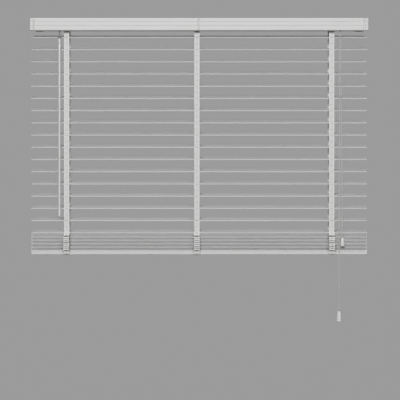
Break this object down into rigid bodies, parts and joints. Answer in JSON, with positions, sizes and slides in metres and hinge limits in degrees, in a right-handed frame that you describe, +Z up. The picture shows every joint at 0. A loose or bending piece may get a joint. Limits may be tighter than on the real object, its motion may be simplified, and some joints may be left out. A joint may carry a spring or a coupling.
{
  "type": "venetian blind",
  "caption": "Horizontal slat blind with ladder tapes, tilt wand, cord lock, pull cords with tassels, valance and bottom rail, shown partly raised.",
  "frame": {"origin": "centre of the four ceiling screw holes, on the brackets' top face", "axes": "+X to the right along the slats as seen from the room, -Y towards the room, +Z up"},
  "size_m": [1.212, 0.094, 1.092],
  "materials": {
    "slat_finish": "white painted, satin, fine grain",
    "tape_fabric": "white woven cotton tape",
    "cord_fabric": "white braided cord",
    "wand_finish": "white satin",
    "headrail_steel": "white powder coat",
    "bare_steel": "zinc plated",
    "worm_metal": "die cast",
    "hook_wire": "dark wire",
    "fitting_plastic": "white moulded",
    "clip_plastic": "white moulded"
  },
  "bodies": {
    "headrail": {"headrail": "headrail_steel", "headrail_end_caps": "fitting_plastic", "mounting_brackets": "headrail_steel", "bracket_doors": "headrail_steel", "valance": "slat_finish", "valance_clips": "clip_plastic", "drum_cradles": "fitting_plastic", "tilter_housing": "headrail_steel", "cord_lock_housing": "bare_steel", "lift_cords": "cord_fabric", "pull_cord_a": "cord_fabric", "pull_cord_b": "cord_fabric"},
    "tilt_shaft": {"tilt_rod": "bare_steel", "tilt_drums": "fitting_plastic", "tilter_gear": "fitting_plastic"},
    "tilter_worm": {"tilter_worm": "worm_metal"},
    "wand_link": {"wand_hook": "hook_wire"},
    "wand": {"wand": "wand_finish"},
    "cord_lock_pawl": {"cord_lock_pawl": "worm_metal"},
    "bottom_rail": {"stacked_slats": "slat_finish", "stack_tape_folds": "tape_fabric", "bottom_rail": "slat_finish", "bottom_rail_end_caps": "slat_finish", "tape_plugs": "clip_plastic"},
    "tassels": {"tassel_a": "wand_finish", "tassel_b": "wand_finish"},
    "front_tapes": {"front_tapes": "tape_fabric"},
    "back_tapes": {"back_tapes": "tape_fabric"},
    "slat_01": {"slat_01": "slat_finish", "ladder_rungs_01": "tape_fabric"},
    "ladder_step_02": {"ladder_rungs_02": "tape_fabric"},
    "slat_02": {"slat_02": "slat_finish"},
    "ladder_step_03": {"ladder_rungs_03": "tape_fabric"},
    "slat_03": {"slat_03": "slat_finish"},
    "ladder_step_04": {"ladder_rungs_04": "tape_fabric"},
    "slat_04": {"slat_04": "slat_finish"},
    "ladder_step_05": {"ladder_rungs_05": "tape_fabric"},
    "slat_05": {"slat_05": "slat_finish"},
    "ladder_step_06": {"ladder_rungs_06": "tape_fabric"},
    "slat_06": {"slat_06": "slat_finish"},
    "ladder_step_07": {"ladder_rungs_07": "tape_fabric"},
    "slat_07": {"slat_07": "slat_finish"},
    "ladder_step_08": {"ladder_rungs_08": "tape_fabric"},
    "slat_08": {"slat_08": "slat_finish"},
    "ladder_step_09": {"ladder_rungs_09": "tape_fabric"},
    "slat_09": {"slat_09": "slat_finish"},
    "ladder_step_10": {"ladder_rungs_10": "tape_fabric"},
    "slat_10": {"slat_10": "slat_finish"},
    "ladder_step_11": {"ladder_rungs_11": "tape_fabric"},
    "slat_11": {"slat_11": "slat_finish"},
    "ladder_step_12": {"ladder_rungs_12": "tape_fabric"},
    "slat_12": {"slat_12": "slat_finish"},
    "ladder_step_13": {"ladder_rungs_13": "tape_fabric"},
    "slat_13": {"slat_13": "slat_finish"},
    "ladder_step_14": {"ladder_rungs_14": "tape_fabric"},
    "slat_14": {"slat_14": "slat_finish"},
    "ladder_step_15": {"ladder_rungs_15": "tape_fabric"},
    "slat_15": {"slat_15": "slat_finish"},
    "ladder_step_16": {"ladder_rungs_16": "tape_fabric"},
    "slat_16": {"slat_16": "slat_finish"}
  },
  "joints": [
    {"name": "slat_tilt", "type": "hinge", "parent": "headrail", "child": "slat_01", "pos_m": [0, 0, -0.0648], "axis": [1, 0, 0], "range_deg": [-76, 50]},
    {"name": "blind_lift", "type": "slide", "parent": "headrail", "child": "bottom_rail", "axis": [0, 0, 1], "range_m": [0, 0.54], "deforming": ["front_tapes", "back_tapes", "lift_cords", "ladder_rungs_02", "ladder_rungs_03", "ladder_rungs_04", "ladder_rungs_05", "ladder_rungs_06", "ladder_rungs_07", "ladder_rungs_08", "ladder_rungs_09", "ladder_rungs_10", "ladder_rungs_11", "ladder_rungs_12", "ladder_rungs_13", "ladder_rungs_14", "ladder_rungs_15", "ladder_rungs_16"]},
    {"name": "tassel_drop", "type": "slide", "parent": "headrail", "child": "tassels", "axis": [0, 0, -1], "range_m": [0, 0.54], "deforming": ["pull_cord_a", "pull_cord_b"]},
    {"name": "front_tape_hang", "type": "hinge", "parent": "slat_01", "child": "front_tapes", "pos_m": [0, -0.0229, -0.07009], "axis": [1, 0, 0], "range_deg": [-50, 76]},
    {"name": "back_tape_hang", "type": "hinge", "parent": "slat_01", "child": "back_tapes", "pos_m": [0, 0.0229, -0.05951], "axis": [1, 0, 0], "range_deg": [-50, 76]},
    {"name": "shaft_turn", "type": "hinge", "parent": "headrail", "child": "tilt_shaft", "pos_m": [0, 0, -0.02], "axis": [1, 0, 0], "range_deg": [-152, 100]},
    {"name": "worm_turn", "type": "hinge", "parent": "headrail", "child": "tilter_worm", "pos_m": [-0.502, -0.01133, -0.01472], "axis": [0, -0.4226, -0.9063], "range_deg": [-1600, 2432]},
    {"name": "wand_swing", "type": "hinge", "parent": "headrail", "child": "wand_link", "pos_m": [-0.502, -0.03525, -0.06601], "axis": [-1, 0, 0], "range_deg": [0, 40]},
    {"name": "wand_turn", "type": "hinge", "parent": "wand_link", "child": "wand", "pos_m": [-0.502, -0.03525, -0.06601], "axis": [0, 0, -1], "range_deg": [-1600, 2432]},
    {"name": "lock_release", "type": "hinge", "parent": "headrail", "child": "cord_lock_pawl", "pos_m": [0.51, 0, -0.022], "axis": [0, -1, 0], "range_deg": [0, 30]},
    {"name": "step_lift_02", "type": "slide", "parent": "headrail", "child": "ladder_step_02", "axis": [0, 0, 1], "range_m": [0, 0.035]},
    {"name": "slat_tilt_02", "type": "hinge", "parent": "ladder_step_02", "child": "slat_02", "pos_m": [0, 0, -0.1088], "axis": [1, 0, 0], "range_deg": [-76, 50]},
    {"name": "step_lift_03", "type": "slide", "parent": "headrail", "child": "ladder_step_03", "axis": [0, 0, 1], "range_m": [0, 0.07]},
    {"name": "slat_tilt_03", "type": "hinge", "parent": "ladder_step_03", "child": "slat_03", "pos_m": [0, 0, -0.1528], "axis": [1, 0, 0], "range_deg": [-76, 50]},
    {"name": "step_lift_04", "type": "slide", "parent": "headrail", "child": "ladder_step_04", "axis": [0, 0, 1], "range_m": [0, 0.105]},
    {"name": "slat_tilt_04", "type": "hinge", "parent": "ladder_step_04", "child": "slat_04", "pos_m": [0, 0, -0.1968], "axis": [1, 0, 0], "range_deg": [-76, 50]},
    {"name": "step_lift_05", "type": "slide", "parent": "headrail", "child": "ladder_step_05", "axis": [0, 0, 1], "range_m": [0, 0.14]},
    {"name": "slat_tilt_05", "type": "hinge", "parent": "ladder_step_05", "child": "slat_05", "pos_m": [0, 0, -0.2408], "axis": [1, 0, 0], "range_deg": [-76, 50]},
    {"name": "step_lift_06", "type": "slide", "parent": "headrail", "child": "ladder_step_06", "axis": [0, 0, 1], "range_m": [0, 0.175]},
    {"name": "slat_tilt_06", "type": "hinge", "parent": "ladder_step_06", "child": "slat_06", "pos_m": [0, 0, -0.2848], "axis": [1, 0, 0], "range_deg": [-76, 50]},
    {"name": "step_lift_07", "type": "slide", "parent": "headrail", "child": "ladder_step_07", "axis": [0, 0, 1], "range_m": [0, 0.21]},
    {"name": "slat_tilt_07", "type": "hinge", "parent": "ladder_step_07", "child": "slat_07", "pos_m": [0, 0, -0.3288], "axis": [1, 0, 0], "range_deg": [-76, 50]},
    {"name": "step_lift_08", "type": "slide", "parent": "headrail", "child": "ladder_step_08", "axis": [0, 0, 1], "range_m": [0, 0.245]},
    {"name": "slat_tilt_08", "type": "hinge", "parent": "ladder_step_08", "child": "slat_08", "pos_m": [0, 0, -0.3728], "axis": [1, 0, 0], "range_deg": [-76, 50]},
    {"name": "step_lift_09", "type": "slide", "parent": "headrail", "child": "ladder_step_09", "axis": [0, 0, 1], "range_m": [0, 0.28]},
    {"name": "slat_tilt_09", "type": "hinge", "parent": "ladder_step_09", "child": "slat_09", "pos_m": [0, 0, -0.4168], "axis": [1, 0, 0], "range_deg": [-76, 50]},
    {"name": "step_lift_10", "type": "slide", "parent": "headrail", "child": "ladder_step_10", "axis": [0, 0, 1], "range_m": [0, 0.315]},
    {"name": "slat_tilt_10", "type": "hinge", "parent": "ladder_step_10", "child": "slat_10", "pos_m": [0, 0, -0.4608], "axis": [1, 0, 0], "range_deg": [-76, 50]},
    {"name": "step_lift_11", "type": "slide", "parent": "headrail", "child": "ladder_step_11", "axis": [0, 0, 1], "range_m": [0, 0.35]},
    {"name": "slat_tilt_11", "type": "hinge", "parent": "ladder_step_11", "child": "slat_11", "pos_m": [0, 0, -0.5048], "axis": [1, 0, 0], "range_deg": [-76, 50]},
    {"name": "step_lift_12", "type": "slide", "parent": "headrail", "child": "ladder_step_12", "axis": [0, 0, 1], "range_m": [0, 0.385]},
    {"name": "slat_tilt_12", "type": "hinge", "parent": "ladder_step_12", "child": "slat_12", "pos_m": [0, 0, -0.5488], "axis": [1, 0, 0], "range_deg": [-76, 50]},
    {"name": "step_lift_13", "type": "slide", "parent": "headrail", "child": "ladder_step_13", "axis": [0, 0, 1], "range_m": [0, 0.42]},
    {"name": "slat_tilt_13", "type": "hinge", "parent": "ladder_step_13", "child": "slat_13", "pos_m": [0, 0, -0.5928], "axis": [1, 0, 0], "range_deg": [-76, 50]},
    {"name": "step_lift_14", "type": "slide", "parent": "headrail", "child": "ladder_step_14", "axis": [0, 0, 1], "range_m": [0, 0.455]},
    {"name": "slat_tilt_14", "type": "hinge", "parent": "ladder_step_14", "child": "slat_14", "pos_m": [0, 0, -0.6368], "axis": [1, 0, 0], "range_deg": [-76, 50]},
    {"name": "step_lift_15", "type": "slide", "parent": "headrail", "child": "ladder_step_15", "axis": [0, 0, 1], "range_m": [0, 0.49]},
    {"name": "slat_tilt_15", "type": "hinge", "parent": "ladder_step_15", "child": "slat_15", "pos_m": [0, 0, -0.6808], "axis": [1, 0, 0], "range_deg": [-76, 50]},
    {"name": "step_lift_16", "type": "slide", "parent": "headrail", "child": "ladder_step_16", "axis": [0, 0, 1], "range_m": [0, 0.525]},
    {"name": "slat_tilt_16", "type": "hinge", "parent": "ladder_step_16", "child": "slat_16", "pos_m": [0, 0, -0.7248], "axis": [1, 0, 0], "range_deg": [-76, 50]}
  ],
  "couplings": [
    {"joint": "tassel_drop", "follows": "blind_lift", "ratio": 1},
    {"joint": "front_tape_hang", "follows": "slat_tilt", "ratio": -1},
    {"joint": "back_tape_hang", "follows": "slat_tilt", "ratio": -1},
    {"joint": "shaft_turn", "follows": "slat_tilt", "ratio": 2},
    {"joint": "worm_turn", "follows": "slat_tilt", "ratio": -32},
    {"joint": "wand_turn", "follows": "slat_tilt", "ratio": -32},
    {"joint": "step_lift_02", "follows": "blind_lift", "ratio": 0.064815},
    {"joint": "slat_tilt_02", "follows": "slat_tilt", "ratio": 1},
    {"joint": "step_lift_03", "follows": "blind_lift", "ratio": 0.12963},
    {"joint": "slat_tilt_03", "follows": "slat_tilt", "ratio": 1},
    {"joint": "step_lift_04", "follows": "blind_lift", "ratio": 0.19444},
    {"joint": "slat_tilt_04", "follows": "slat_tilt", "ratio": 1},
    {"joint": "step_lift_05", "follows": "blind_lift", "ratio": 0.25926},
    {"joint": "slat_tilt_05", "follows": "slat_tilt", "ratio": 1},
    {"joint": "step_lift_06", "follows": "blind_lift", "ratio": 0.32407},
    {"joint": "slat_tilt_06", "follows": "slat_tilt", "ratio": 1},
    {"joint": "step_lift_07", "follows": "blind_lift", "ratio": 0.38889},
    {"joint": "slat_tilt_07", "follows": "slat_tilt", "ratio": 1},
    {"joint": "step_lift_08", "follows": "blind_lift", "ratio": 0.4537},
    {"joint": "slat_tilt_08", "follows": "slat_tilt", "ratio": 1},
    {"joint": "step_lift_09", "follows": "blind_lift", "ratio": 0.51852},
    {"joint": "slat_tilt_09", "follows": "slat_tilt", "ratio": 1},
    {"joint": "step_lift_10", "follows": "blind_lift", "ratio": 0.58333},
    {"joint": "slat_tilt_10", "follows": "slat_tilt", "ratio": 1},
    {"joint": "step_lift_11", "follows": "blind_lift", "ratio": 0.64815},
    {"joint": "slat_tilt_11", "follows": "slat_tilt", "ratio": 1},
    {"joint": "step_lift_12", "follows": "blind_lift", "ratio": 0.71296},
    {"joint": "slat_tilt_12", "follows": "slat_tilt", "ratio": 1},
    {"joint": "step_lift_13", "follows": "blind_lift", "ratio": 0.77778},
    {"joint": "slat_tilt_13", "follows": "slat_tilt", "ratio": 1},
    {"joint": "step_lift_14", "follows": "blind_lift", "ratio": 0.84259},
    {"joint": "slat_tilt_14", "follows": "slat_tilt", "ratio": 1},
    {"joint": "step_lift_15", "follows": "blind_lift", "ratio": 0.90741},
    {"joint": "slat_tilt_15", "follows": "slat_tilt", "ratio": 1},
    {"joint": "step_lift_16", "follows": "blind_lift", "ratio": 0.97222},
    {"joint": "slat_tilt_16", "follows": "slat_tilt", "ratio": 1}
  ]
}
